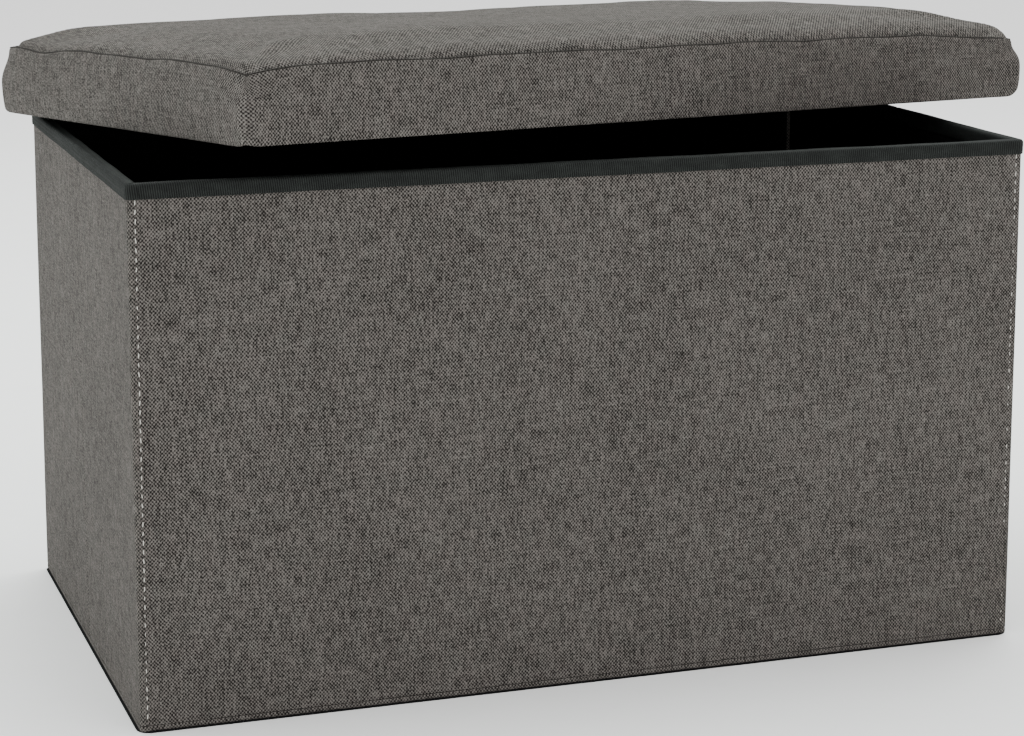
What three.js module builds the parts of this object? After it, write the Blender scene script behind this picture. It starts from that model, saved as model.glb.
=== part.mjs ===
// Folding storage bench: a fabric-covered box whose two short sides fold inwards, and a loose padded lid.
// Millimetres, +Z up. The origin is the middle of the base's underside, and the front faces -Y.
import * as THREE from 'three';

// Box, over the fabric of the walls
const boxWidth = 638;
const boxDepth = 388;
const rimHeight = 364;

// Wall layers, from the outside in
const coverThickness = 0.9;
const boardThickness = 4;
const liningThickness = 0.6;
const layerGap = 0.3;

// Tape that binds the rim
const bindingThickness = 0.9;
const bindingDrop = 10;

// Base panel, which the walls stand on
const baseClothThickness = 0.6;
const baseBoardThickness = 2.4;
const baseLip = 1.6;
const baseCornerRadius = 9;
const boardCornerRadius = 2;
const standingGap = 0.5;

// Fabric hinges: what is left between the leaves of a short side, and between a leaf and a long wall
const cornerGap = 2;
const creaseGap = 0.5;

// Lid, in its own frame: the origin is the middle of the hem
const lidClearance = 1;
const hemToSeam = 48;
const lidHollow = 23;
const skirtBoardThickness = 2;
const lidBoardThickness = 4;
const lidCornerGap = 5;
const hemAllowance = 1.2;
const crownHeight = 20;
const crownSharpnessAlong = 12;
const crownSharpnessAcross = 7;
const foamSteps = { along: 32, across: 20 };

// How the lid lies on the box: off its middle, turned and tipped back, with its hem just over the rim
const lidShift = { x: 17, y: 38 };
const lidTurn = 13.75;
const lidTipBack = -2.95;
const lidTipSide = 0.9;
const hemClearance = 1;

// Worked out from the values above
const wallThickness = coverThickness + layerGap + boardThickness + layerGap + liningThickness;
const pocketSeam = coverThickness + layerGap;
const bindingProud = layerGap + bindingThickness;
const baseTop = 2 * baseClothThickness + 2 * layerGap + baseBoardThickness;
const wallFoot = baseTop + standingGap;
const wallTop = rimHeight - bindingThickness - layerGap;
const halfWidth = boxWidth / 2;
const halfDepth = boxDepth / 2;
const leafEnd = halfDepth - wallThickness - cornerGap;
const skirtThickness = coverThickness + layerGap + skirtBoardThickness + layerGap + liningThickness;
const crownRise = crownHeight - coverThickness;
const lidInset = bindingProud + lidClearance;
const lidHalfWidth = halfWidth + lidInset + skirtThickness;
const lidHalfDepth = halfDepth + lidInset + skirtThickness;

const fabric = () => new THREE.MeshStandardMaterial({ color: 0x77736b, roughness: 0.95, metalness: 0 });
const nonWoven = () => new THREE.MeshStandardMaterial({ color: 0x141413, roughness: 0.9, metalness: 0 });
const tape = () => new THREE.MeshStandardMaterial({ color: 0x2b2e2c, roughness: 0.8, metalness: 0 });
const fibreboard = () => new THREE.MeshStandardMaterial({ color: 0x9a7a52, roughness: 0.85, metalness: 0 });
const foamRubber = () => new THREE.MeshStandardMaterial({ color: 0xd9d2b8, roughness: 1, metalness: 0 });

function named(name, geometry, material) {
  const mesh = new THREE.Mesh(geometry, material);
  mesh.name = name;
  return mesh;
}

// A flat piece between two opposite corners, [x, y, z] each, in the frame of its parent
function slab(name, material, low, high) {
  const size = high.map((value, axis) => value - low[axis]);
  const mesh = named(name, new THREE.BoxGeometry(...size), material);
  mesh.position.set(...high.map((value, axis) => (value + low[axis]) / 2));
  return mesh;
}

// A flat sheet with round corners that lies between two heights
function roundedSheet(name, material, width, depth, radius, bottom, top) {
  const [x, y] = [width / 2, depth / 2];
  const outline = new THREE.Shape();
  outline.moveTo(x - radius, -y);
  outline.absarc(x - radius, -y + radius, radius, -Math.PI / 2, 0);
  outline.absarc(x - radius, y - radius, radius, 0, Math.PI / 2);
  outline.absarc(-x + radius, y - radius, radius, Math.PI / 2, Math.PI);
  outline.absarc(-x + radius, -y + radius, radius, Math.PI, 1.5 * Math.PI);
  const solid = { depth: top - bottom, bevelEnabled: false, curveSegments: 8 };
  const mesh = named(name, new THREE.ExtrudeGeometry(outline, solid), material);
  mesh.position.z = bottom;
  return mesh;
}

// The tape over a wall's top edge: an upside-down U, carried along the wall
function binding(name, length) {
  const outside = wallThickness / 2 + bindingProud;
  const inside = wallThickness / 2 + layerGap;
  const underside = rimHeight - bindingThickness;
  const foot = rimHeight - bindingDrop;
  const section = new THREE.Shape([
    new THREE.Vector2(-outside, foot),
    new THREE.Vector2(-inside, foot),
    new THREE.Vector2(-inside, underside),
    new THREE.Vector2(inside, underside),
    new THREE.Vector2(inside, foot),
    new THREE.Vector2(outside, foot),
    new THREE.Vector2(outside, rimHeight),
    new THREE.Vector2(-outside, rimHeight),
  ]);
  const geometry = new THREE.ExtrudeGeometry(section, { depth: length, bevelEnabled: false });
  geometry.translate(0, 0, -length / 2);
  geometry.rotateX(Math.PI / 2);
  return named(name, geometry, tape());
}

// One wall or leaf, made lying along X with its outer face towards -Y, then turned into place.
// Its layers are the cover, the board in its pocket, the lining and the binding over the top.
function panel(name, length, centre, turn) {
  const group = new THREE.Group();
  const half = length / 2;
  const layer = (part, material, outer, thickness, end = half) =>
    slab(`${name}_${part}`, material, [-end, outer, wallFoot], [end, outer + thickness, wallTop]);
  const outerFace = -wallThickness / 2;
  const boardFace = outerFace + coverThickness + layerGap;
  const liningFace = boardFace + boardThickness + layerGap;
  const rim = binding(`${name}_binding`, length);
  rim.rotation.z = Math.PI / 2;
  group.add(layer('cover', fabric(), outerFace, coverThickness));
  group.add(layer('board', fibreboard(), boardFace, boardThickness, half - pocketSeam));
  group.add(layer('lining', nonWoven(), liningFace, liningThickness));
  group.add(rim);
  group.position.set(centre.x, centre.y, 0);
  group.rotation.z = turn;
  return group;
}

// The underside cloth reaches past the walls, and the board and the floor cloth stop at the cover's inside
function base() {
  const boardFoot = baseClothThickness + layerGap;
  const floorFoot = boardFoot + baseBoardThickness + layerGap;
  const sheet = (name, material, reach, radius, foot, thickness) =>
    roundedSheet(name, material, boxWidth + 2 * reach, boxDepth + 2 * reach, radius, foot, foot + thickness);
  const group = new THREE.Group();
  group.add(sheet('base_underside_cloth', nonWoven(), baseLip, baseCornerRadius, 0, baseClothThickness));
  group.add(sheet('base_board', fibreboard(), -pocketSeam, boardCornerRadius, boardFoot, baseBoardThickness));
  group.add(sheet('base_floor_cloth', nonWoven(), -pocketSeam, boardCornerRadius, floorFoot, baseClothThickness));
  return group;
}

// The front and rear walls run the whole width, and each short side is two leaves between them
function walls() {
  const group = new THREE.Group();
  const wallLine = halfDepth - wallThickness / 2;
  const sideLine = halfWidth - wallThickness / 2;
  const leafLength = leafEnd - creaseGap;
  const leafMiddle = (leafEnd + creaseGap) / 2;
  group.add(panel('front_wall', boxWidth, { x: 0, y: -wallLine }, 0));
  group.add(panel('rear_wall', boxWidth, { x: 0, y: wallLine }, Math.PI));
  for (const [side, sign] of [['left', -1], ['right', 1]]) {
    for (const [end, way] of [['front', -1], ['rear', 1]]) {
      const centre = { x: sign * sideLine, y: way * leafMiddle };
      group.add(panel(`${side}_${end}_leaf`, leafLength, centre, sign * Math.PI / 2));
    }
  }
  return group;
}

// Height of the lid's crown above its seam at a share of the half width and half depth:
// a root of one minus a high power, so the shoulders are round and the middle is nearly flat
function crown(shareX, shareY) {
  const along = Math.sqrt(Math.max(0, 1 - Math.abs(shareX) ** crownSharpnessAlong));
  const across = Math.sqrt(Math.max(0, 1 - Math.abs(shareY) ** crownSharpnessAcross));
  return along * across;
}

// A padded layer between two surfaces, each a flat sheet at its level raised by the crown times its rise
function crowned(name, material, halfX, halfY, lower, upper) {
  const { along, across } = foamSteps;
  const geometry = new THREE.BoxGeometry(2, 2, 2, along, across, 1);
  const corners = geometry.attributes.position;
  const ease = (share) => Math.sin((share * Math.PI) / 2);
  for (let i = 0; i < corners.count; i += 1) {
    const [shareX, shareY] = [ease(corners.getX(i)), ease(corners.getY(i))];
    const surface = corners.getZ(i) > 0 ? upper : lower;
    const height = surface.level + surface.rise * crown(shareX, shareY);
    corners.setXYZ(i, halfX * shareX, halfY * shareY, height);
  }
  geometry.computeVertexNormals();
  return named(name, geometry, material);
}

// Four flat pieces standing on the lid's hem: the short ones fit between the long ones, and all of them may
// end short of the soft corners
function lidBand(part, material, inset, thickness, bottom, top, endGap = 0) {
  const [x, y] = [lidHalfWidth - inset, lidHalfDepth - inset];
  const longEnd = x - endGap;
  const shortEnd = y - thickness - layerGap - endGap;
  return [
    slab(`lid_front_${part}`, material(), [-longEnd, -y, bottom], [longEnd, -y + thickness, top]),
    slab(`lid_rear_${part}`, material(), [-longEnd, y - thickness, bottom], [longEnd, y, top]),
    slab(`lid_left_${part}`, material(), [-x, -shortEnd, bottom], [-x + thickness, shortEnd, top]),
    slab(`lid_right_${part}`, material(), [x - thickness, -shortEnd, bottom], [x, shortEnd, top]),
  ];
}

function lid() {
  const skirtBoardInset = coverThickness + layerGap;
  const facingInset = skirtBoardInset + skirtBoardThickness + layerGap;
  const insideInset = skirtThickness + layerGap;
  const liningFoot = lidHollow;
  const boardFoot = liningFoot + liningThickness + layerGap;
  const boardTop = boardFoot + lidBoardThickness;
  const foamFoot = boardTop + layerGap;
  const borderTop = hemToSeam - layerGap;
  const [x, y] = [lidHalfWidth, lidHalfDepth];
  const [insideX, insideY] = [x - insideInset, y - insideInset];
  const boardInset = facingInset + layerGap;
  const [boardX, boardY] = [x - boardInset, y - boardInset];
  const [foamX, foamY] = [x - skirtBoardInset, y - skirtBoardInset];
  const group = new THREE.Group();
  group.add(...lidBand('border', fabric, 0, coverThickness, 0, borderTop));
  const facingTop = liningFoot - layerGap;
  group.add(...lidBand(
    'skirt_board', fibreboard, skirtBoardInset, skirtBoardThickness, hemAllowance, boardTop, lidCornerGap));
  group.add(...lidBand('hem_facing', nonWoven, facingInset, liningThickness, hemAllowance, facingTop));
  group.add(slab('lid_underside_lining', nonWoven(),
    [-insideX, -insideY, liningFoot], [insideX, insideY, liningFoot + liningThickness]));
  group.add(slab('lid_board', fibreboard(), [-boardX, -boardY, boardFoot], [boardX, boardY, boardTop]));
  group.add(crowned('lid_foam', foamRubber(), foamX, foamY,
    { level: foamFoot, rise: 0 }, { level: borderTop, rise: crownRise }));
  group.add(crowned('lid_top_cover', fabric(), x, y,
    { level: hemToSeam, rise: crownRise }, { level: hemToSeam + coverThickness, rise: crownRise }));
  return group;
}

// Lays the lid on the box: the plane of its tipped hem passes just over the highest corner of the rim
// that it meets, so no part of the hem cuts the rim wherever the lid is turned or shifted
function layOnRim(group) {
  const turns = [lidTipBack, lidTipSide, lidTurn].map(THREE.MathUtils.degToRad);
  group.rotation.set(...turns, 'ZXY');
  const hemNormal = new THREE.Vector3(0, 0, 1).applyEuler(group.rotation);
  const rimCorner = { x: halfWidth + bindingProud, y: halfDepth + bindingProud };
  const dropTo = (signX, signY) =>
    (hemNormal.x * (signX * rimCorner.x - lidShift.x) + hemNormal.y * (signY * rimCorner.y - lidShift.y)) /
    hemNormal.z;
  const deepest = Math.max(dropTo(-1, -1), dropTo(-1, 1), dropTo(1, -1), dropTo(1, 1));
  group.position.set(lidShift.x, lidShift.y, rimHeight + hemClearance + deepest);
  return group;
}

const bench = new THREE.Group();
bench.add(base(), walls(), layOnRim(lid()));
export default bench;
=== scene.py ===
import math

import bpy
import numpy as np
from mathutils import Matrix, Vector


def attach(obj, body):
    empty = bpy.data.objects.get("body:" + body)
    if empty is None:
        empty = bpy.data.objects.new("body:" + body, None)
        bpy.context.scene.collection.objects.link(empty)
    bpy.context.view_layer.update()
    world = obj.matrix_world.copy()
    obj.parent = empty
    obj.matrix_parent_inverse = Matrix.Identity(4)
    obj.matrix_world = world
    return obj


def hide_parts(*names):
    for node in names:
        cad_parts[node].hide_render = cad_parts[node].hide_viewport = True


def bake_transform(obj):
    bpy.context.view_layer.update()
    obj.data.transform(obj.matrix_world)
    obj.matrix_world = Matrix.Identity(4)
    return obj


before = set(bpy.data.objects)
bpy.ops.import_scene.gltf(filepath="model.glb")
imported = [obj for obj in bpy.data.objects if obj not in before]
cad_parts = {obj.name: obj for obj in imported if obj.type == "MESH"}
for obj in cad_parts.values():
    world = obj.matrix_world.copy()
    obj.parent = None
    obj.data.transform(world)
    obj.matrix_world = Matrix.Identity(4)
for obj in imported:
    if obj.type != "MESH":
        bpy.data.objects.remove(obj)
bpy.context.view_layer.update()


# Camera: a long lens a little above the rim, in front of the left corner, so that the front, the left side,
# the inside under the lifted lid and a strip of the cushion's top all show.
camera = bpy.data.objects.new("camera", bpy.data.cameras.new("camera"))
camera.data.lens = 93.4
camera.data.sensor_width = 36
camera.data.shift_y = -0.12
camera.location = (-0.6198, -1.8398, 0.6229)
camera.rotation_euler = (math.radians(90 - 10.198), 0, math.radians(-18.713))
bpy.context.scene.collection.objects.link(camera)
bpy.context.scene.camera = camera


# Studio: a plain pale floor under an even sky, a soft lamp to the left, a stronger one above and behind, and
# a weak one in front, so the left side and the cushion are lighter than the front.
world = bpy.data.worlds.new("studio")
world.use_nodes = True
world.node_tree.nodes["Background"].inputs["Color"].default_value = (1.0, 1.0, 1.0, 1)
world.node_tree.nodes["Background"].inputs["Strength"].default_value = 1.5
bpy.context.scene.world = world


def soft_lamp(name, place, target, width, power, colour):
    """A square area lamp at a place, turned to shine at a target."""
    lamp = bpy.data.objects.new(name, bpy.data.lights.new(name, "AREA"))
    lamp.data.size = width
    lamp.data.energy = power
    lamp.data.color = colour
    lamp.location = place
    lamp.rotation_euler = (Vector(target) - Vector(place)).to_track_quat("-Z", "Y").to_euler()
    bpy.context.scene.collection.objects.link(lamp)
    return lamp


soft_lamp("lamp_left", (-2.6, 0.2, 1.5), (0, 0, 0.2), 1.8, 36, (0.90, 1.0, 0.97))
soft_lamp("lamp_above", (0.5, 0.8, 2.5), (0.1, 0, 0.3), 2.2, 76, (0.92, 1.0, 0.965))
soft_lamp("lamp_front", (0.9, -3.0, 1.0), (0, 0, 0.2), 2.0, 8, (1.0, 0.96, 0.93))


# Outer cover: a grey melange linen-look plain weave, light and dark yarns about 1 mm apart with darker slubs
# along the warp. It is one strip stretched flat over the boards, which sit in pockets closed by a row of
# off-white topstitching 5 mm from each corner of the long walls.
class Ring:
    """A closed path round an upright box, anticlockwise from above, that starts in the middle of the -Y side.
    A length along it gives a share of the way to each corner's centre and a direction outwards, which turns
    evenly through a quarter at each corner. A point set in from the path is the corner centres' rectangle
    times those shares, plus the corner radius left over times that direction; past the radius the corner
    stays nearly sharp and the rectangle shrinks instead."""

    sharpest = 0.0003

    def __init__(self, half_x, half_y, radius, centre=(0.0, 0.0)):
        self.half_x, self.half_y, self.radius, self.centre = half_x, half_y, radius, centre
        x, y = half_x - radius, half_y - radius
        self.quarter = radius * math.pi / 2
        legs = [0, x, self.quarter, 2 * y, self.quarter, 2 * x, self.quarter, 2 * y, self.quarter, x]
        self.marks = np.cumsum(legs)
        self.turns = np.radians([0, 0, 90, 90, 180, 180, 270, 270, 360, 360])
        self.shares_x = [0, 1, 1, 1, 1, -1, -1, -1, -1, 0]
        self.shares_y = [-1, -1, -1, 1, 1, 1, 1, -1, -1, -1]
        self.length = self.marks[-1]
        self.right = x + self.quarter + y
        self.rear = self.length / 2
        self.left = self.length - self.right

    def at(self, s, inset=0.0):
        """The x and y of points at lengths s, set in by the inset."""
        s = np.mod(s, self.length)
        turn = np.interp(s, self.marks, self.turns)
        share_x, share_y = np.interp(s, self.marks, self.shares_x), np.interp(s, self.marks, self.shares_y)
        radius = np.maximum(self.radius - inset, self.sharpest)
        return (self.centre[0] + share_x * (self.half_x - inset - radius) + radius * np.sin(turn),
                self.centre[1] + share_y * (self.half_y - inset - radius) - radius * np.cos(turn))


def stations(start, end, coarse, close=(), reach=0.006, fine=0.0006):
    """Lengths from start to end a coarse step apart, and a fine step apart within reach of each close
    place."""
    marks = [np.linspace(start, end, max(2, round((end - start) / coarse) + 1))]
    marks += [np.arange(place - reach, place + reach, fine) for place in close]
    marks = np.unique(np.concatenate(marks))
    marks = marks[(marks > start + fine / 3) & (marks < end - fine / 3)]
    apart = np.diff(marks, prepend=start) > fine / 3
    return np.concatenate([[start], marks[apart], [end]])


def put_mesh(name, points, faces, uv, sharp=50):
    """A smooth mesh object with one UV map in metres along and across the cloth."""
    mesh = bpy.data.meshes.new(name)
    mesh.from_pydata(points.tolist(), [], faces.tolist())
    mesh.uv_layers.new(name="cloth").data.foreach_set("uv", uv.ravel())
    mesh.shade_smooth()
    mesh.set_sharp_from_angle(angle=math.radians(sharp))
    piece = bpy.data.objects.new(name, mesh)
    bpy.context.scene.collection.objects.link(piece)
    return piece


def closed_faces(face, back, ends=True):
    """The faces between two grids of point numbers: the face, the back, the two long edges and, unless the
    strip meets itself, the two ends."""
    quads = [np.stack([face[:-1, :-1], face[1:, :-1], face[1:, 1:], face[:-1, 1:]], -1),
             np.stack([back[:-1, :-1], back[:-1, 1:], back[1:, 1:], back[1:, :-1]], -1),
             np.stack([face[:-1, 0], back[:-1, 0], back[1:, 0], face[1:, 0]], -1),
             np.stack([face[:-1, -1], face[1:, -1], back[1:, -1], back[:-1, -1]], -1)]
    if ends:
        quads += [np.stack([face[0, :-1], face[0, 1:], back[0, 1:], back[0, :-1]], -1),
                  np.stack([face[-1, :-1], back[-1, :-1], back[-1, 1:], face[-1, 1:]], -1)]
    return np.concatenate([part.reshape(-1, 4) for part in quads])


def carried(name, ring, lengths, section, thickness, relief=None, rise=None, draw=None, joined=False,
            place=None):
    """A strip of cloth: a section of (inset, height) points carried along a ring. A point is the ring's point
    moved inwards by the inset, at the height. The relief moves it along the section's normal, the draw moves
    it in and the rise moves it up. The back of the cloth is the same sheet set back by the thickness along
    the normal, and the edges between face and back are closed. A joined strip meets itself at its ends."""
    section = np.asarray(section, float)
    step = np.gradient(section, axis=0)
    step /= np.hypot(step[:, 0], step[:, 1])[:, None]
    normal = np.stack([-step[:, 1], step[:, 0]], axis=1)
    across = np.concatenate([[0], np.cumsum(np.hypot(*np.diff(section, axis=0).T))])
    rows, columns = len(lengths), len(section)
    s, t = np.meshgrid(lengths, across, indexing="ij")
    proud = relief(s, t) if relief else np.zeros_like(s)
    sheets = []
    for back in (0, thickness):
        inset = section[:, 0] + (proud - back) * normal[:, 0]
        height = section[:, 1] + (proud - back) * normal[:, 1]
        inset = inset + (draw(s, height) if draw else 0)
        height = height + (rise(s, height) if rise else 0)
        sheets.append(np.stack([*ring.at(s, inset), height], axis=-1))
    points = np.stack(sheets)
    kept = rows - 1 if joined else rows
    face, back = np.arange(2 * rows * columns).reshape(2, rows, columns)
    quads = closed_faces(face, back, ends=not joined)
    uv = np.tile(np.stack([s, t], -1).reshape(-1, 2), (2, 1))[quads.ravel()]
    real = (np.arange(2)[:, None, None] * kept + (np.arange(rows) % kept)[None, :, None]) * columns
    real = (real + np.arange(columns)).ravel()
    points = points[:, :kept].reshape(-1, 3)
    if place is not None:
        points = points @ place[:3, :3].T + place[:3, 3]
    return put_mesh(name, points, real[quads], uv)


class Strand:
    """A shader socket that does sums: +, -, * and / with a number or another strand each add a Math node."""

    def __init__(self, tree, socket=None):
        self.tree, self.socket = tree, socket

    def node(self, kind, settings=None, sockets=None, output=0):
        """Adds a node of a kind, gives it its settings, then the value or the link of each socket."""
        made = self.tree.nodes.new(kind)
        for name, value in (settings or {}).items():
            setattr(made, name, value)
        for name, value in (sockets or {}).items():
            if isinstance(value, Strand):
                self.tree.links.new(value.socket, made.inputs[name])
            else:
                made.inputs[name].default_value = value
        return Strand(self.tree, made.outputs[output])

    def out(self, name):
        """Another output of the same node."""
        return Strand(self.tree, self.socket.node.outputs[name])

    def sums(self, operation, first, second=0.0):
        """A Math node of an operation on two numbers or strands."""
        return self.node("ShaderNodeMath", {"operation": operation}, {0: first, 1: second})

    def __add__(self, other):
        return self.sums("ADD", self, other)

    def __radd__(self, other):
        return self.sums("ADD", other, self)

    def __sub__(self, other):
        return self.sums("SUBTRACT", self, other)

    def __rsub__(self, other):
        return self.sums("SUBTRACT", other, self)

    def __mul__(self, other):
        return self.sums("MULTIPLY", self, other)

    def __rmul__(self, other):
        return self.sums("MULTIPLY", other, self)

    def __truediv__(self, other):
        return self.sums("DIVIDE", self, other)


def new_finish(name, roughness, shine=0.5):
    """A material with a fixed roughness and shine: the material, its shader and an empty strand on its
    tree."""
    material = bpy.data.materials.new(name)
    material.use_nodes = True
    shader = material.node_tree.nodes["Principled BSDF"]
    shader.inputs["Roughness"].default_value = roughness
    shader.inputs["Specular IOR Level"].default_value = shine
    return material, shader, Strand(material.node_tree)


def blend_colour(amount, first, second):
    """A colour between two others, by an amount from 0 to 1."""
    limited = amount.node("ShaderNodeClamp", sockets={"Value": amount})
    ends = {0: limited, 6: first if isinstance(first, Strand) else (*first, 1),
            7: second if isinstance(second, Strand) else (*second, 1)}
    return amount.node("ShaderNodeMix", {"data_type": "RGBA"}, ends, output=2)


def speckle(strand, u, v, detail=2.0):
    """Noise from 0 to 1 over two coordinates that are already scaled."""
    where = strand.node("ShaderNodeCombineXYZ", sockets={0: u, 1: v})
    return strand.node("ShaderNodeTexNoise", {"noise_dimensions": "2D"},
                       {"Vector": where, "Scale": 1.0, "Detail": detail, "Roughness": 0.55})


def wave(strand, angle):
    """The sine of an angle."""
    return strand.sums("SINE", angle)


def use_colour_and_bump(shader, strand, colour, height, strength, distance):
    """Gives a shader its colour and a bump of a height in units of the distance."""
    bump = strand.node("ShaderNodeBump", sockets={"Height": height, "Strength": strength,
                                                  "Distance": distance})
    strand.tree.links.new(colour.socket, shader.inputs["Base Color"])
    strand.tree.links.new(bump.socket, shader.inputs["Normal"])


woven, woven_shader, yarn = new_finish("woven_melange", 0.95, shine=0.08)
yarn_pitch = 0.00118
spot = yarn.node("ShaderNodeSeparateXYZ", sockets={0: yarn.node("ShaderNodeUVMap")})
drift = speckle(yarn, spot * 55.0, spot.out("Y") * 55.0) - 0.5
warp_count = spot / yarn_pitch + drift * 0.9
weft_count = spot.out("Y") / (yarn_pitch * 1.12) + drift * 0.7
over_under = wave(yarn, warp_count * math.pi) * wave(yarn, weft_count * math.pi)
slub = speckle(yarn, warp_count * 0.8, weft_count * 0.14, 3.0) - 0.5
pick = speckle(yarn, warp_count * 0.07, weft_count * 0.6) - 0.5
fleck = speckle(yarn, warp_count * 1.0, weft_count * 0.9, 1.0) - 0.5
streak = speckle(yarn, warp_count * 0.2, weft_count * 0.05, 3.0) - 0.5
cloud = speckle(yarn, spot * 14.0, spot.out("Y") * 9.0) - 0.5
tone = over_under * 0.65 + slub * 1.15 + pick * 0.5 + fleck * 1.3 + streak * 0.35 + cloud * 0.2 + 0.43
yarns = blend_colour(tone, (0.008, 0.007, 0.0065), (0.150, 0.1365, 0.1300))
warmth = speckle(yarn, spot * 90.0, spot.out("Y") * 70.0, 1.0)
tint = blend_colour(warmth, (1.0, 0.975, 0.95), (0.96, 1.0, 0.965))
yarns = yarn.node("ShaderNodeMix", {"data_type": "RGBA", "blend_type": "MULTIPLY"},
                  {0: 1.0, 6: yarns, 7: tint}, output=2)
use_colour_and_bump(woven_shader, yarn, yarns, yarn.sums("ABSOLUTE", over_under) + fleck * 0.5, 0.5, 0.00035)

wall_x, wall_y = 0.319, 0.194
stitch_x = 0.314
wall_ring = Ring(wall_x, wall_y, 0.0032)
cover_thickness = 0.0009
wall_foot, wall_top = 0.0046, 0.3605
hinge_y = 0.1863
crease_half = 0.0024
cover_heights = np.concatenate([[wall_foot, wall_foot + 0.0002, wall_foot + 0.0008],
                                np.linspace(wall_foot + 0.002, wall_top - 0.001, 178), [wall_top]])
cover_section = np.stack([np.interp(cover_heights, [wall_foot, wall_foot + 0.0002, wall_foot + 0.0008, 0.30,
                                                    wall_top], [0.0005, 0.00015, 0, 0, 0.0001]),
                          cover_heights], 1)
stitch_lines = [stitch_x, wall_ring.rear - stitch_x, wall_ring.rear + stitch_x, wall_ring.length - stitch_x]


def cover_relief(s, t):
    """The stretched cloth's relief: slow waves a fifth of a millimetre high, a bell-shaped groove along each
    row of topstitching with a ripple up it, and a deeper bell-shaped groove at the fold of each short side,
    deepest at the foot."""
    slow = 0.00012 * np.sin(23 * s + 1.3) * np.sin(17 * t + 0.4) + 0.00008 * np.sin(61 * s + 31 * t)
    grooves = np.zeros_like(s)
    for line in stitch_lines:
        away = s - line
        ripple_band = np.exp(-(np.abs(away) - 0.003) ** 2 / 0.0015**2)
        grooves -= 0.00028 * np.exp(-(away / 0.0011) ** 2)
        grooves += 0.00010 * np.sin(2 * math.pi * t / 0.012) * ripple_band
    foot = 0.25 + 0.75 * np.exp(-t / 0.07)
    for fold in (wall_ring.right, wall_ring.left):
        away = s - fold
        grooves -= 0.0008 * foot * np.exp(-(away / 0.0018) ** 2)
        grooves -= 0.0004 * np.exp(-t / 0.012) * np.exp(-(away / 0.0045) ** 2)
    return slow + grooves


def cover(name, start, end, close, bodies, node=None, ring=wall_ring, hinge=None):
    """One piece of the outer cover between two lengths round the wall. With no hinge it rides on a body; with
    a hinge its place is baked into its points and it rides on none. The cloth is one strip."""
    lengths = stations(start, end, 0.009, close)
    piece = carried(name, ring, lengths, cover_section, cover_thickness,
                    cover_relief if ring is wall_ring else None)
    piece.data.materials.append(woven)
    if node:
        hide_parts(node)
        end - start
    if hinge is None:
        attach(piece, bodies)
    else:
        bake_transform(piece)
    return piece


right_front_hinge = wall_ring.right - hinge_y
left_rear_hinge = wall_ring.left - hinge_y
left_front_hinge = wall_ring.left + hinge_y
cover_turn = 0.0011
corner_start = 0.3175
turned_under = 0.0012
for side, middle, past, x in (("right", wall_ring.right, turned_under, wall_x),
                              ("left", wall_ring.left, 0, -wall_x)):
    cover(f"{side}_fold_cover", middle - crease_half, middle + crease_half + past,
                              [middle], (f"{side}_front_leaf", f"{side}_rear_leaf"),
                              hinge=((x, -crease_half, 0.1), (x, crease_half, 0.1)))
cover("front_cover", -stitch_x, stitch_x, [-stitch_x, stitch_x], "box_base", "front_wall_cover")
cover("right_front_cover", stitch_x, wall_ring.right - crease_half,
      [corner_start, right_front_hinge, wall_ring.right], ("box_base", "right_front_leaf"),
      "right_front_leaf_cover",
      hinge=((wall_x, -hinge_y - cover_turn, 0.1), (wall_x, -hinge_y + cover_turn, 0.1)))
cover("left_rear_cover", wall_ring.rear + stitch_x, wall_ring.left - crease_half,
      [wall_ring.rear + corner_start, left_rear_hinge, wall_ring.left], ("rear_wall", "left_rear_leaf"),
      "left_rear_leaf_cover",
      hinge=((-wall_x, hinge_y + cover_turn, 0.1), (-wall_x, hinge_y - cover_turn, 0.1)))
cover("left_front_cover", wall_ring.left + crease_half, wall_ring.length - stitch_x,
      [wall_ring.left, left_front_hinge, wall_ring.length - corner_start], ("box_base", "left_front_leaf"),
      "left_front_leaf_cover",
      hinge=((-wall_x, -hinge_y - cover_turn, 0.1), (-wall_x, -hinge_y + cover_turn, 0.1)))

# The right rear corner is left open, so the leaf's cover is turned round the leaf's own end, and the rear
# wall's cover is turned round the end of the rear wall.
wall_thickness = 0.0061
leaf_end = 0.1859
leaf_ring = Ring(wall_thickness / 2, (leaf_end - crease_half) / 2, 0.0012,
                 (wall_x - wall_thickness / 2, (leaf_end + crease_half) / 2))
cover("right_rear_cover", leaf_ring.marks[2], leaf_ring.marks[6] + 0.001,
      [leaf_ring.marks[3], leaf_ring.marks[5]], "right_rear_leaf", "right_rear_leaf_cover", ring=leaf_ring)
rear_ring = Ring(wall_x, wall_thickness / 2, 0.0028, (0.0, wall_y - wall_thickness / 2))
rear_turn_in = 0.0048
cover("rear_cover", rear_ring.marks[1] - rear_turn_in, rear_ring.rear + stitch_x,
      [rear_ring.marks[2], rear_ring.marks[3], rear_ring.rear - 0.3165], "rear_wall", "rear_wall_cover",
      ring=rear_ring)


# Topstitching: one row of thick off-white thread up each end of the long walls, about 6 mm a stitch. Each
# stitch lies on the cloth and dives into it at its ends.
thread, thread_shader, twist = new_finish("off_white_thread", 0.6, shine=0.3)
thread_spot = twist.node("ShaderNodeSeparateXYZ", sockets={0: twist.node("ShaderNodeUVMap")})
# Painted shade: the twist wave that is the plies' bump also makes the thread darker along the grooves between
# its plies.
ply_relief_and_painted_shade = wave(twist, (thread_spot + thread_spot.out("Y") * 1.5) * (2 * math.pi / 0.0009)) * 0.5 + 0.5
use_colour_and_bump(thread_shader, twist, blend_colour(ply_relief_and_painted_shade, (0.34, 0.32, 0.29), (0.68, 0.66, 0.61)), ply_relief_and_painted_shade, 0.6,
                    0.0002)
stitch_pitch, stitch_length, stitch_radius = 0.0062, 0.0044, 0.00042


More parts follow.
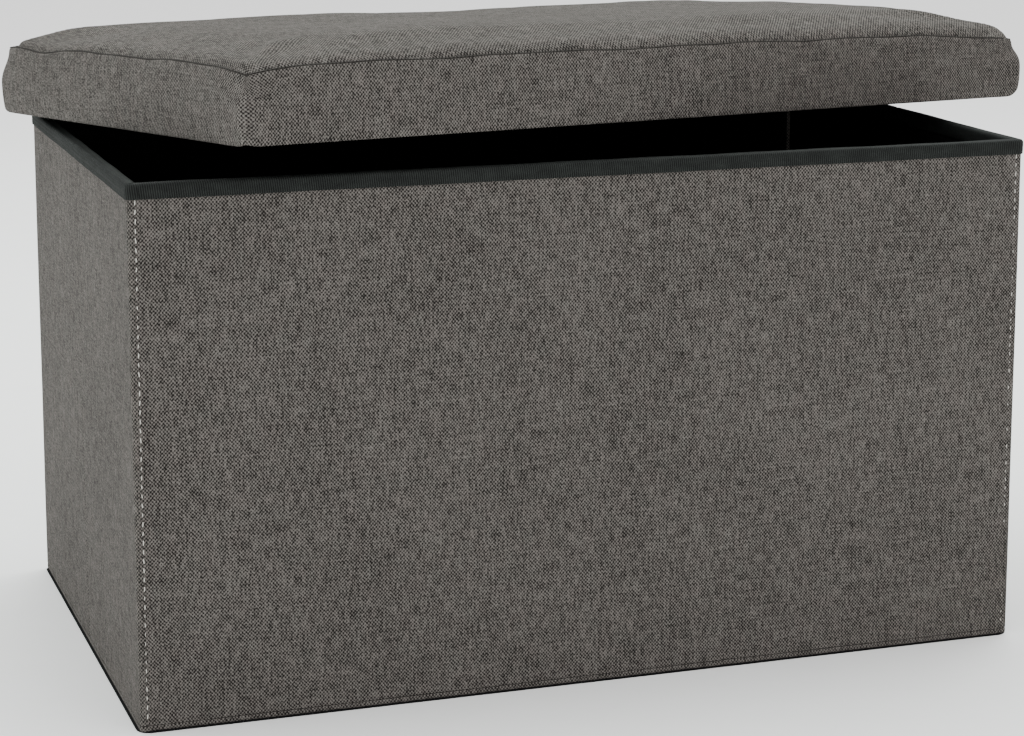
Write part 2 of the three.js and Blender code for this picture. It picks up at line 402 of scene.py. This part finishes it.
def stitch_row(name, x, y, outwards, deep, body):
    """A row of stitches up a wall. A stitch is a tube whose radius falls off as the root of one minus the
    fourth power of the share from its middle, on a centre line that bows outwards as one minus its square."""
    share = np.linspace(-1, 1, 7)
    angle = np.linspace(0, 2 * math.pi, 7)[:-1]
    feet = np.arange(0.009, 0.3505, stitch_pitch)
    lean = 0.0003 * np.sin(feet * 151)
    sunk = deep + 0.00026 * (1 + np.sin(feet * 1270) * np.sin(feet * 311))
    radius = stitch_radius * np.sqrt(1.02 - share**4)
    bow = stitch_radius * (0.75 - 1.5 * share**2)
    across = radius[:, None] * np.cos(angle)
    out = bow[:, None] + radius[:, None] * np.sin(angle) - sunk[:, None, None]
    up = np.broadcast_to((share * stitch_length / 2)[:, None], across.shape)
    ring_points = np.stack(np.broadcast_arrays(
        x + lean[:, None, None] * share[:, None] + across, y + outwards * out,
        feet[:, None, None] + stitch_length / 2 + up), -1)
    count, rings, sides = ring_points.shape[:3]
    number = np.arange(count * rings * sides).reshape(count, rings, sides)
    following = np.roll(number, -1, axis=2)
    quads = np.stack([number[:, :-1], following[:, :-1], following[:, 1:], number[:, 1:]], -1).reshape(-1, 4)
    low = number[:, 0, ::-1].reshape(count, sides)
    high = number[:, -1].reshape(count, sides)
    caps = np.concatenate([end[:, order] for end in (low, high) for order in ([0, 1, 2, 3], [0, 3, 4, 5])])
    faces = np.concatenate([quads, caps])
    if outwards < 0:
        faces = faces[:, ::-1]
    length_along = np.broadcast_to(ring_points[..., 2], number.shape)
    round_thread = np.broadcast_to(angle * stitch_radius, number.shape)
    uv = np.stack([length_along.ravel(), round_thread.ravel()], -1)[faces.ravel()]
    row = put_mesh(name, ring_points.reshape(-1, 3), faces, uv, sharp=70)
    row.data.materials.append(thread)
    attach(row, body)


# The right rows are pulled deeper into the cloth.
for side, x, deep in (("left", -stitch_x, 0.0), ("right", stitch_x, 0.00040)):
    stitch_row(f"front_{side}_topstitching", x, -wall_y + 0.0002, -1, deep, "box_base")
    stitch_row(f"rear_{side}_topstitching", x, wall_y - 0.0002, 1, deep, "rear_wall")


# Rim binding: grosgrain tape, dark green-grey, folded over the top edge of every wall and stitched through,
# with cross ribs 1.5 mm apart. It turns the corners.
grosgrain, tape_shader, rib = new_finish("grosgrain_tape", 0.7, shine=0.12)
rib_pitch = 0.0015
tape_spot = rib.node("ShaderNodeSeparateXYZ", sockets={0: rib.node("ShaderNodeUVMap")})
rib_angle = (tape_spot + tape_spot.out("Y") * 0.12) * (2 * math.pi / rib_pitch)
# Painted highlight: the rib wave that is the ribs' bump also makes their tops lighter and the grooves between
# them darker.
rib_relief_and_painted_highlight = wave(rib, rib_angle) * 0.5 + 0.5
fibre = speckle(rib, tape_spot * 2600.0, tape_spot.out("Y") * 500.0)
worn = speckle(rib, tape_spot * 60.0, tape_spot.out("Y") * 140.0)
tape_tone = rib_relief_and_painted_highlight * 0.75 + (fibre - 0.5) * 0.6 + (worn - 0.5) * 0.5 - 0.06
use_colour_and_bump(tape_shader, rib, blend_colour(tape_tone, (0.0018, 0.002, 0.002), (0.026, 0.030, 0.0275)),
                    rib_relief_and_painted_highlight + fibre * 0.3, 0.55, 0.0003)

rim_height = 0.364
binding_drop = 0.0101
binding_half = 0.00425
binding_round = 0.0022
tape_thickness = 0.00085
tape_proud = binding_half - wall_thickness / 2
binding_ring = Ring(wall_x + tape_proud, wall_y + tape_proud, 0.005)
quarter_turn = np.radians(np.linspace(0, 90, 7))
outside = np.stack([-binding_half + binding_round * (1 - np.cos(quarter_turn)),
                    rim_height - binding_round * (1 - np.sin(quarter_turn))], 1)
tape_foot = [[-binding_half + 0.00045, rim_height - binding_drop],
             [-binding_half + 0.00010, rim_height - binding_drop + 0.0003],
             [-binding_half - 0.00004, rim_height - 0.0075], [-binding_half - 0.00002, rim_height - 0.0045]]
half_section = np.concatenate([tape_foot, outside])
binding_section = np.concatenate([half_section, half_section[::-1] * [-1, 1]]) + [binding_half, 0]


def tape_relief(s, t):
    """The tape's cross ribs, a sine an eighth of a millimetre high that leans a little, on slow waves from
    the stitching and a dip where it was folded at each short side's middle."""
    ribs = 0.00010 * np.sin(2 * math.pi * (s + 0.12 * t) / rib_pitch)
    waves = 0.00014 * np.sin(s * 97 + 0.6) * np.sin(t * 250) + 0.00010 * np.sin(s * 41 + 90 * t)
    dips = sum(np.exp(-((s - fold) / 0.0025) ** 2) for fold in (binding_ring.right, binding_ring.left))
    return ribs + waves - 0.00035 * dips


def tape(name, start, end, bodies, nodes, hinge=None):
    """One length of the binding, with four stations to a rib."""
    lengths = np.linspace(start, end, max(3, round((end - start) / rib_pitch * 4) + 1))
    piece = carried(name, binding_ring, lengths, binding_section, tape_thickness, tape_relief)
    piece.data.materials.append(grosgrain)
    if nodes:
        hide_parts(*nodes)
    if hinge is None:
        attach(piece, bodies)
    else:
        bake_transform(piece)


hinge_low, hinge_high = 0.1867, 0.1845
tape_x, tape_end, tape_z = 0.316, 0.312, 0.36
tape("front_tape", -tape_end, tape_end, "box_base", ["front_wall_binding"])
tape("right_front_tape", tape_end, binding_ring.right - crease_half, ("box_base", "right_front_leaf"),
     ["right_front_leaf_binding"], hinge=((tape_x, -hinge_low, tape_z), (tape_x, -hinge_high, tape_z)))
tape("right_rear_tape", binding_ring.right + crease_half, binding_ring.right + leaf_end, "right_rear_leaf",
     ["right_rear_leaf_binding"])
tape("rear_tape", binding_ring.right + 0.1877, binding_ring.rear + tape_end, "rear_wall",
     ["rear_wall_binding"])
tape("left_rear_tape", binding_ring.rear + tape_end, binding_ring.left - crease_half,
     ("rear_wall", "left_rear_leaf"), ["left_rear_leaf_binding"],
     hinge=((-tape_x, hinge_low, tape_z), (-tape_x, hinge_high, tape_z)))
tape("left_front_tape", binding_ring.left + crease_half, binding_ring.length - tape_end,
     ("box_base", "left_front_leaf"), ["left_front_leaf_binding"],
     hinge=((-tape_x, -hinge_low, tape_z), (-tape_x, -hinge_high, tape_z)))
for side, middle, x in (("right", binding_ring.right, tape_x), ("left", binding_ring.left, -tape_x)):
    tape(f"{side}_fold_tape", middle - crease_half, middle + crease_half,
         (f"{side}_front_leaf", f"{side}_rear_leaf"), [],
         hinge=((x, -crease_half, tape_z), (x, crease_half, tape_z)))


# Lining: thin black non-woven cloth with a pressed dimple pattern, glued to the inside of every wall a little
# loosely, so it puckers. It runs on round the inside corners where the leaves hinge.
nonwoven, nonwoven_shader, felt = new_finish("black_nonwoven", 0.85, shine=0.1)
felt_spot = felt.node("ShaderNodeSeparateXYZ", sockets={0: felt.node("ShaderNodeUVMap")})
dimple_pitch = 0.0016
dimple = (wave(felt, felt_spot * (2 * math.pi / dimple_pitch))
          * wave(felt, felt_spot.out("Y") * (2 * math.pi / dimple_pitch)))
fluff = speckle(felt, felt_spot * 900.0, felt_spot.out("Y") * 900.0)
felt_tone = dimple * 0.3 + fluff * 0.8
felt_colour = blend_colour(felt_tone, (0.0015, 0.0015, 0.0018), (0.007, 0.007, 0.0075))
use_colour_and_bump(nonwoven_shader, felt, felt_colour, dimple + fluff, 0.4, 0.0002)
lining_ring = Ring(wall_x - wall_thickness, wall_y - wall_thickness, 0.0016)
lining_thickness = 0.0006
lining_heights = np.linspace(0.3618, 0.0052, 70)
lining_section = np.stack([np.zeros_like(lining_heights), lining_heights], 1)


def lining_relief(s, t):
    """Loose puckers, three crossing sines up to four tenths of a millimetre high, that die out at the rim."""
    puckers = (0.00016 * np.sin(s * 71 + 9 * t) + 0.00014 * np.sin(s * 33 - 41 * t + 1)
               + 0.00010 * np.sin(s * 127 + 58 * t + 2))
    corners = [lining_ring.right - hinge_y, lining_ring.right + hinge_y, lining_ring.left - hinge_y,
               lining_ring.left + hinge_y, lining_ring.right, lining_ring.left]
    calm = np.prod([1 - np.exp(-((s - corner) / 0.012) ** 2) for corner in corners], axis=0)
    return np.abs(puckers) * calm * np.clip(t / 0.03, 0, 1)


def lining(name, start, end, close, bodies, nodes, hinge=None):
    """One piece of the lining between two lengths round the inside, made and placed as the outer cover's
    pieces are.
    """
    lengths = stations(start, end, 0.008, close, reach=0.004, fine=0.0005)
    piece = carried(name, lining_ring, lengths, lining_section, lining_thickness, lining_relief)
    piece.data.materials.append(nonwoven)
    if nodes:
        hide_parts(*nodes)
        end - start
    if hinge is None:
        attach(piece, bodies)
    else:
        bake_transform(piece)
    return piece


lining_end = 0.3095
inner_x, inner_y, pivot_x = wall_x - wall_thickness, wall_y - wall_thickness, 0.3113
for side, middle, x in (("right", lining_ring.right, inner_x), ("left", lining_ring.left, -inner_x)):
    lining(f"{side}_fold_lining", middle - crease_half, middle + crease_half, [middle],
                                (f"{side}_front_leaf", f"{side}_rear_leaf"), [],
                                hinge=((x, -crease_half, 0.1), (x, crease_half, 0.1)))
lining("front_lining", -lining_end, lining_end, [], "box_base", ["front_wall_lining"])
lining("right_front_lining", lining_end, lining_ring.right - crease_half,
       [lining_ring.marks[1] + 0.0012, lining_ring.right], ("box_base", "right_front_leaf"),
       ["right_front_leaf_lining"], hinge=((pivot_x, -inner_y, 0.1), (inner_x, -hinge_y, 0.1)))
lining("right_rear_lining", lining_ring.right + crease_half, lining_ring.right + leaf_end - 0.001, [],
       "right_rear_leaf", ["right_rear_leaf_lining"])
lining("rear_lining", lining_ring.marks[4], lining_ring.rear + lining_end, [], "rear_wall",
       ["rear_wall_lining"])
lining("left_rear_lining", lining_ring.rear + lining_end, lining_ring.left - crease_half,
       [lining_ring.marks[5] + 0.0012, lining_ring.left], ("rear_wall", "left_rear_leaf"),
       ["left_rear_leaf_lining"], hinge=((-pivot_x, inner_y, 0.1), (-inner_x, hinge_y, 0.1)))
lining("left_front_lining", lining_ring.left + crease_half, lining_ring.length - lining_end,
       [lining_ring.marks[7] + 0.0012, lining_ring.left], ("box_base", "left_front_leaf"),
       ["left_front_leaf_lining"], hinge=((-pivot_x, -inner_y, 0.1), (-inner_x, -hinge_y, 0.1)))


# Base: a thin board wrapped in the black non-woven, a little wider than the walls that stand on it, so its
# rounded edge and corners show as a black line under the front.
def plate(name, half_x, half_y, corner, upper, lower, steps, place=None):
    """A closed form over a rectangle with round corners: two sheets of points, whose heights are functions of
    the x, the y and the distance in from the edge, and a wall that joins their rims. The points crowd towards
    the edges as a sine does, and past a corner's centre they are pulled in to the round."""
    share_x = np.sin(np.linspace(-1, 1, steps[0]) * math.pi / 2) * half_x
    share_y = np.sin(np.linspace(-1, 1, steps[1]) * math.pi / 2) * half_y
    x, y = np.meshgrid(share_x, share_y, indexing="ij")
    over_x = np.maximum(np.abs(x) - (half_x - corner), 0)
    over_y = np.maximum(np.abs(y) - (half_y - corner), 0)
    reach = np.hypot(over_x, over_y)
    pull = 1 - np.maximum(over_x, over_y) / np.maximum(reach, 1e-9)
    x = np.sign(x) * (np.abs(x) - over_x * pull)
    y = np.sign(y) * (np.abs(y) - over_y * pull)
    in_corner = (over_x > 0) & (over_y > 0)
    edge = np.where(in_corner, corner - np.maximum(over_x, over_y),
                    np.minimum(half_x - np.abs(x), half_y - np.abs(y)))
    edge = np.maximum(edge, 0)
    points = np.stack([np.stack([x, y, upper(x, y, edge)], -1), np.stack([x, y, lower(x, y, edge)], -1)])
    number = np.arange(points[..., 0].size).reshape(points.shape[:3])
    quads = closed_faces(*number)
    uv = points[..., :2].reshape(-1, 2)[quads.ravel()]
    points = points.reshape(-1, 3)
    if place is not None:
        points = points @ place[:3, :3].T + place[:3, 3]
    return put_mesh(name, points, quads, uv, sharp=60)


def floor_wrinkles(x, y):
    """Faint wrinkles pressed into a flat cloth: two crossing sines, a tenth of a millimetre deep."""
    return 0.00010 * (np.sin(61 * x + 13 * y) * np.sin(43 * y - 19 * x + 1) - 1)


def rounded_edge(edge, size):
    """The share of a sheet's half thickness that is left near its edge: a quarter circle over the size."""
    return 0.15 + 0.85 * np.sqrt(np.clip(1 - (1 - np.clip(edge / size, 0, 1)) ** 2, 0, 1))


floor_top = 0.0042
floor_x, floor_y = 0.3178, 0.1928
floor_cloth = plate("base_floor_cloth_glued", floor_x, floor_y, 0.003,
                    lambda x, y, edge: floor_top + floor_wrinkles(x, y),
                    lambda x, y, edge: floor_top - 0.0006 + 0 * x, (110, 70))
under_half = 0.00042
under_x, under_y = 0.3206, 0.1956
underside_cloth = plate("base_underside_cloth_folded", under_x, under_y, 0.0096,
                        lambda x, y, edge: under_half * (1 + rounded_edge(edge, 0.0006)),
                        lambda x, y, edge: under_half * (1 - rounded_edge(edge, 0.0006)), (110, 70))
for piece, node in ((floor_cloth, "base_floor_cloth"), (underside_cloth, "base_underside_cloth")):
    piece.data.materials.append(nonwoven)
    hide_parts(node)
    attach(piece, "box_base")

# The base board's edge is wrapped in the outer cloth, flush with the walls that stand on it.
edge_section = [[0.0009, 0.00095], [0.0003, 0.00100], [0.00005, 0.00125], [0, 0.0018], [0, 0.0034],
                [0.00005, 0.0041], [0.0003, 0.0043], [0.0009, 0.00435]]
edge_stations = stations(0, wall_ring.length, 0.01, wall_ring.marks[1:-1], reach=0.004, fine=0.0006)
base_edge = carried("base_edge_cloth", wall_ring, edge_stations, edge_section, 0.0006, joined=True)
base_edge.data.materials.append(woven)
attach(base_edge, "box_base")


# Boards: pressed fibreboard inside the walls, the base and the lid, brown with short pale fibres. Every board
# is the solid from the frame itself, and only its finish is new.
hardboard, board_shader, pulp = new_finish("pressed_fibreboard", 0.8)
pulp_spot = pulp.node("ShaderNodeTexCoord", output=3)
flakes = pulp.node("ShaderNodeTexNoise", sockets={"Vector": pulp_spot, "Scale": 260.0, "Detail": 6.0})
stain = pulp.node("ShaderNodeTexNoise", sockets={"Vector": pulp_spot, "Scale": 9.0, "Detail": 2.0})
board_colour = blend_colour(flakes * 1.2 + stain * 0.5 - 0.35, (0.16, 0.095, 0.05), (0.40, 0.27, 0.16))
use_colour_and_bump(board_shader, pulp, board_colour, flakes, 0.3, 0.0003)
for name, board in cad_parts.items():
    if name.endswith("_board"):
        board.data.materials.clear()
        board.data.materials.append(hardboard)


# Lid border: the cushion cover's upright band, cloth over a skirt of thin board, turned under at the hem. It
# is sewn to the top panel along a seam that rides up between the corners and is pulled down at each corner.
# The lid lies askew on the rim: turned, then tilted both ways.
lid_place = np.array(Matrix.Translation((0.017, 0.038, 0.374375))
                     @ Matrix.Rotation(math.radians(13.75), 4, "Z")
                     @ Matrix.Rotation(math.radians(-2.95), 4, "X")
                     @ Matrix.Rotation(math.radians(0.9), 4, "Y"))
lid_half_x, lid_half_y, lid_corner = 0.3253, 0.2003, 0.0065
lid_ring = Ring(lid_half_x, lid_half_y, lid_corner)
lid_corners = {"front_right": (1, -1), "rear_right": (1, 1), "rear_left": (-1, 1), "front_left": (-1, -1)}
corner_marks = dict(zip(lid_corners, lid_ring.marks[[1, 3, 5, 7]] + lid_ring.quarter / 2))
seam_level = 0.0500


def from_corner(s, corner):
    """Distance along the ring from a corner, the short way round."""
    away = np.abs(np.mod(s, lid_ring.length) - corner_marks[corner])
    return np.minimum(away, lid_ring.length - away)


def seam_drop(x, y):
    """How far the seam is below its level at a place on the lid's edge: a dip at each corner that fades as an
    exponential, one bell-shaped sag on the left side, and two slow sines for the uneven pull."""
    dips = {"front_right": (0.0085, 0.060), "rear_right": (0.0065, 0.045), "rear_left": (0.0040, 0.022),
            "front_left": (0.0062, 0.024)}
    drop = 0.0004 * np.sin(41 * (x - y) + 0.8) + 0.0003 * np.sin(83 * (x + y) + 2.1)
    for corner, (depth, fade) in dips.items():
        side_x, side_y = lid_corners[corner]
        drop += depth * np.exp(-np.hypot(x - side_x * lid_half_x, y - side_y * lid_half_y) / fade)
    return drop + 0.0030 * np.exp(-((y - 0.125) / 0.026) ** 2) * np.exp(-(x + lid_half_x) / 0.03)


def border_rise(s, height):
    """The seam's drop grows from nothing at half height to all of it at the top, and the hem's corners are
    rounded upwards, most at the front right."""
    share = np.clip((height - seam_level / 2) / (seam_level / 2), 0, 1)
    lifts = {"front_right": 0.0042, "rear_right": 0.0020, "rear_left": 0.0020, "front_left": 0.0014}
    lift = sum(size * np.exp(-(from_corner(s, corner) / 0.0055) ** 2) for corner, size in lifts.items())
    return lift * np.clip(1 - height / 0.012, 0, 1) - seam_drop(*lid_ring.at(s)) * share**2 * (3 - 2 * share)


def drawn_in(s, height):
    """How far the band leans in: a bell shape round each corner that grows towards the seam, where the
    cushion is rounder than the hem."""
    near = sum(np.exp(-(from_corner(s, corner) / 0.014) ** 2) for corner in corner_marks)
    share = np.clip((height - 0.022) / 0.024, 0, 1)
    return 0.0046 * near * share**2 * (3 - 2 * share)


def border_relief(s, t):
    """The band swells between hem and seam as half a sine, more on the short sides, with faint upright
    waves."""
    x, y = lid_ring.at(s)
    short_side = np.clip((np.abs(x) - 0.300) / 0.025, 0, 1)
    swell = (0.0009 + 0.0014 * short_side) * np.sin(math.pi * np.clip(t / (seam_level + 0.003), 0, 1))
    return swell + 0.00022 * np.sin(s * 113 + 0.5) * np.sin(s * 37) * np.clip(t / 0.03, 0, 1)


hem_turn = np.radians(np.linspace(-90, 0, 6))
border_section = np.concatenate([
    [[0.0040, 0.0008], [0.0030, 0.0004], [0.0020, 0.0001]],
    np.stack([0.0010 * (1 - np.cos(hem_turn)) + 0.0002, 0.0012 * (1 + np.sin(hem_turn))], 1)[1:],
    np.stack([np.zeros(26), np.linspace(0.0026, seam_level - 0.0016, 26)], 1),
    [[0.00025, seam_level - 0.0009], [0.0008, seam_level - 0.0004], [0.0016, seam_level - 0.0004]]])
border_stations = stations(0, lid_ring.length, 0.006, corner_marks.values(), reach=0.009, fine=0.0009)
border = carried("lid_border", lid_ring, border_stations, border_section, cover_thickness, border_relief,
                 border_rise, drawn_in, joined=True, place=lid_place)
border.data.materials.append(woven)
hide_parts("lid_front_border", "lid_rear_border", "lid_left_border", "lid_right_border")
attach(border, "lid")


# Lid seam: a dark cord sunk in the groove between the band and the top panel, painted shade that stands in
# for the groove's shadow, with a stitch every 3 mm.
painted_seam_shadow, seam_shader, tight = new_finish("seam_groove_painted_shadow", 0.85, shine=0.1)
seam_spot = tight.node("ShaderNodeSeparateXYZ", sockets={0: tight.node("ShaderNodeUVMap")})
seam_stitch = 0.003
pull = wave(tight, seam_spot * (2 * math.pi / seam_stitch)) * 0.5 + 0.5
# Painted shade: the cord's near-black colour stands for the shadow in the seam groove; the 3 mm rhythm is the
# stitches.
seam_shadow_colour = blend_colour(pull, (0.010, 0.009, 0.008), (0.035, 0.032, 0.029))
use_colour_and_bump(seam_shader, tight, seam_shadow_colour, pull, 0.4, 0.0002)
round_seam = np.radians(np.linspace(0, 360, 9))
seam_radius = 0.00065


def seam_relief(s, t):
    """The dark cord thins between its stitches, a sine every 3 mm."""
    return 0.00012 * np.sin(2 * math.pi * s / seam_stitch)


seam_section = np.stack([0.0011 - seam_radius * np.cos(round_seam),
                         seam_level - 0.0002 + seam_radius * np.sin(round_seam)], 1)
seam_stations = np.linspace(0, lid_ring.length, 2700)
seam = carried("lid_seam_shadow_cord", lid_ring, seam_stations, seam_section[:-1], 0.0004, seam_relief,
               lambda s, height: -seam_drop(*lid_ring.at(s)), drawn_in, joined=True, place=lid_place)
seam.data.materials.append(painted_seam_shadow)
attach(seam, "lid")


# Lid inside: a black non-woven facing round the inside of the skirt, and one sheet of the same cloth glued
# under the lid board.
facing_inset, facing_top, facing_foot = 0.0041, 0.0226, 0.0012
facing_section = np.stack([np.full(12, facing_inset), np.linspace(facing_top, facing_foot, 12)], 1)
facing = carried("lid_hem_facing", lid_ring, border_stations, facing_section, lining_thickness,
                 lambda s, t: 0.00008 * np.sin(s * 90) * np.sin(t * 200), joined=True, place=lid_place)
facing.data.materials.append(nonwoven)
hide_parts(*(f"lid_{side}_hem_facing" for side in ("front", "rear", "left", "right")))
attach(facing, "lid")
glued_top, glued_foot = 0.0236, 0.0230
glued_x, glued_y = lid_half_x - 0.0044, lid_half_y - 0.0044
underside = plate("lid_underside", glued_x, glued_y, 0.004, lambda x, y, edge: glued_top + 0 * x,
                  lambda x, y, edge: glued_foot + floor_wrinkles(x, y) * np.clip(edge / 0.02, 0, 1),
                  (90, 60), lid_place)
underside.data.materials.append(nonwoven)
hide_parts("lid_underside_lining")
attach(underside, "lid")


# Lid cushion: soft foam under a top panel of the woven cloth, pulled tight by its seam, so it swells from the
# seam in a round shoulder to a nearly flat top.
cushion_inset, cushion_foot = 0.0015, 0.0284
cushion_x, cushion_y = lid_half_x - cushion_inset, lid_half_y - cushion_inset
cushion_top = 0.0680
cushion_corner = 0.014
swelling = 0.0045
cushion_rise = cushion_top - seam_level - swelling * 0.6
shoulder_width, shoulder_rise = 0.017, 0.0125
shoulder_level = 0.0380


def crown(x, y, edge):
    """The swell over the seam: a shoulder, a quarter circle over the shoulder's width in from the edge that
    is higher at the right end, and on it a dome, one minus the fourth power of the share of the half length,
    times the same of the half depth."""
    across = np.clip(1 - edge / shoulder_width, 0, 1)
    dome = (1 - np.clip(np.abs(x / cushion_x), 0, 1) ** 4) * (1 - np.clip(np.abs(y / cushion_y), 0, 1) ** 4)
    rise = shoulder_rise + 0.0028 * x / cushion_x
    return rise * np.sqrt(1 - across**2) + (cushion_rise - rise) * dome


def cushion_edge(x, y):
    """The height that the cushion's shoulder starts from: just under the seam all the way round."""
    return seam_level - 0.0012 - seam_drop(x, y)


cushion = plate("lid_cushion", cushion_x, cushion_y, cushion_corner,
                lambda x, y, edge: cushion_edge(x, y) + crown(x, y, edge),
                lambda x, y, edge: cushion_foot + 0 * x, (140, 90))


def settled(piece):
    """The piece's mesh as its modifiers leave it; the modifiers are then taken off."""
    mesh = bpy.data.meshes.new_from_object(piece.evaluated_get(bpy.context.evaluated_depsgraph_get()))
    piece.modifiers.clear()
    piece.data = mesh


def places(mesh):
    """The mesh's points as rows of x, y and z."""
    flat = np.empty(len(mesh.vertices) * 3)
    mesh.vertices.foreach_get("co", flat)
    return flat.reshape(-1, 3)


voxels = cushion.modifiers.new("voxels", "REMESH")
voxels.mode = "VOXEL"
voxels.voxel_size = 0.006
settled(cushion)
slack = places(cushion.data)
held = cushion.vertex_groups.new(name="held")
held.add(np.flatnonzero(slack[:, 2] < shoulder_level + 0.006).tolist(), 1.0, "REPLACE")
air = cushion.modifiers.new("air", "CLOTH")
air.settings.use_pressure = True
air.settings.uniform_pressure_force = 4
air.settings.effector_weights.gravity = 0
air.settings.vertex_group_mass = "held"
scene = bpy.context.scene
for moment in range(1, 21):
    scene.frame_set(moment)
settled(cushion)
scene.frame_set(1)
moved = places(cushion.data) - slack
far = np.linalg.norm(moved, axis=1, keepdims=True)
full = slack + moved * np.minimum(1, swelling / np.maximum(far, 1e-9))
cushion.data.vertices.foreach_set("co", full.ravel())
finer = cushion.modifiers.new("finer", "SUBSURF")
finer.levels = finer.render_levels = 1
settled(cushion)

# The seam then pulls the cloth into short creases across it, and the weave is laid along the cushion.
lid_points = places(cushion.data)
x, y, z = lid_points.T
shortfall = np.clip(cushion_top - z.max(), -0.004, 0.006)
z = z + shortfall * np.clip((z - seam_level) / (z.max() - seam_level), 0, 1)
edge = np.minimum(cushion_x - np.abs(x), cushion_y - np.abs(y))
round_edge = np.where(cushion_x - np.abs(x) < cushion_y - np.abs(y), y, x)
creases = 0.0008 * np.sin(round_edge * 120 + 3 * np.sin(round_edge * 23)) * np.exp(-edge / 0.018)
creases += 0.0010 * np.sin(x * 19 + 1) * np.sin(y * 27 + 2) * np.clip(edge / 0.05, 0, 1)
z = np.where(z > shoulder_level, z + creases * np.clip((z - shoulder_level) / 0.006, 0, 1), z)
lid_points = np.stack([x, y, z], 1)


def unrolled(position, half):
    """Length of cloth from the middle to a position over the shoulder: the sum of the steps of its
    profile."""
    fine = np.linspace(0, 1, 4000) * half
    profile = shoulder_rise * np.sqrt(1 - np.clip(1 - (half - fine) / shoulder_width, 0, 1) ** 2)
    cloth_length = np.concatenate([[0], np.cumsum(np.hypot(np.diff(fine), np.diff(profile)))])
    return np.sign(position) * np.interp(np.abs(position), fine, cloth_length)


lay = np.stack([unrolled(x, cushion_x), unrolled(y, cushion_y)], 1)
corner_of = np.empty(len(cushion.data.loops), dtype=np.int32)
cushion.data.loops.foreach_get("vertex_index", corner_of)
cushion.data.uv_layers.new(name="cloth").data.foreach_set("uv", lay[corner_of].ravel())
lid_points = lid_points @ lid_place[:3, :3].T + lid_place[:3, 3]
cushion.data.vertices.foreach_set("co", lid_points.ravel())
cushion.data.update()
cushion.data.shade_smooth()
cushion.data.materials.clear()
cushion.data.materials.append(woven)
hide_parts("lid_top_cover", "lid_foam")
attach(cushion, "lid")


# Floor: matt pale paper under the bench, with a faint grain. It is the stage and no piece of the bench, and
# runs on to the horizon.
paper, paper_shader, sheet = new_finish("pale_floor", 0.9)
grain = sheet.node("ShaderNodeTexNoise", sockets={"Vector": sheet.node("ShaderNodeTexCoord", output=3),
                                                  "Scale": 30.0, "Detail": 3.0})
use_colour_and_bump(paper_shader, sheet, blend_colour(grain, (0.93, 0.93, 0.925), (0.96, 0.96, 0.955)), grain,
                    0.05, 0.0005)
ground = np.array([[-80, -80, 0], [80, -80, 0], [80, 80, 0], [-80, 80, 0]], float)
floor = put_mesh("floor", ground, np.array([[0, 1, 2, 3]]), ground[:, :2])
floor.data.materials.append(paper)
